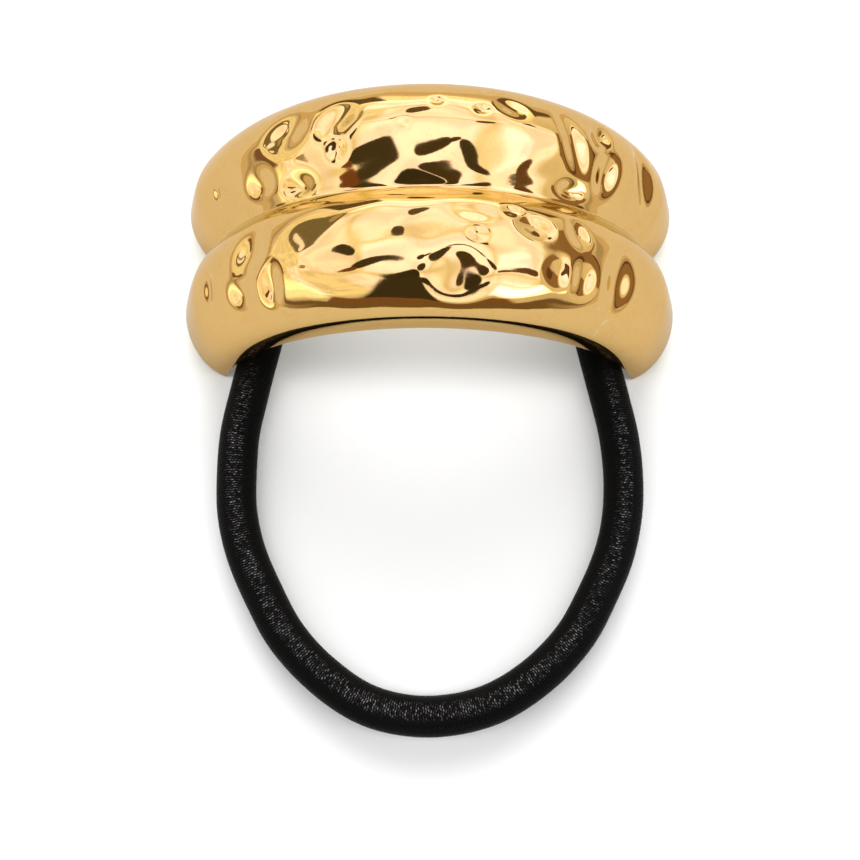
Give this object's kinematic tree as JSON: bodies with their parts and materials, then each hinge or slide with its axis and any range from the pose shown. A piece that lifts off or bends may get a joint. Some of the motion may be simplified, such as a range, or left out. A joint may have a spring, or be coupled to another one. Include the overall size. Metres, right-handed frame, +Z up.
{
  "type": "ponytail cuff",
  "caption": "Half-round hair cuff: a hollow-backed, gold-tone metal arch with hammered ribs, worn over a ponytail that a round black elastic loop gathers.",
  "frame": {"origin": "on the surface that the cuff lies on, under the middle of the arch's outline", "axes": "+X from foot to foot, +Y from the front rib to the back rib, +Z up; the elastic lies towards -Y"},
  "size_m": [0.055, 0.0645, 0.0277],
  "materials": {
    "gold_tone_metal": "mirror-polished gold tone over hammered dents",
    "ferrule_metal": "plain, softly polished",
    "elastic_cover": "wound black thread over a round rubber core, slight sheen"
  },
  "bodies": {
    "root": {"cuff": "gold_tone_metal", "ferrule": "ferrule_metal", "elastic": "elastic_cover"}
  },
  "joints": []
}
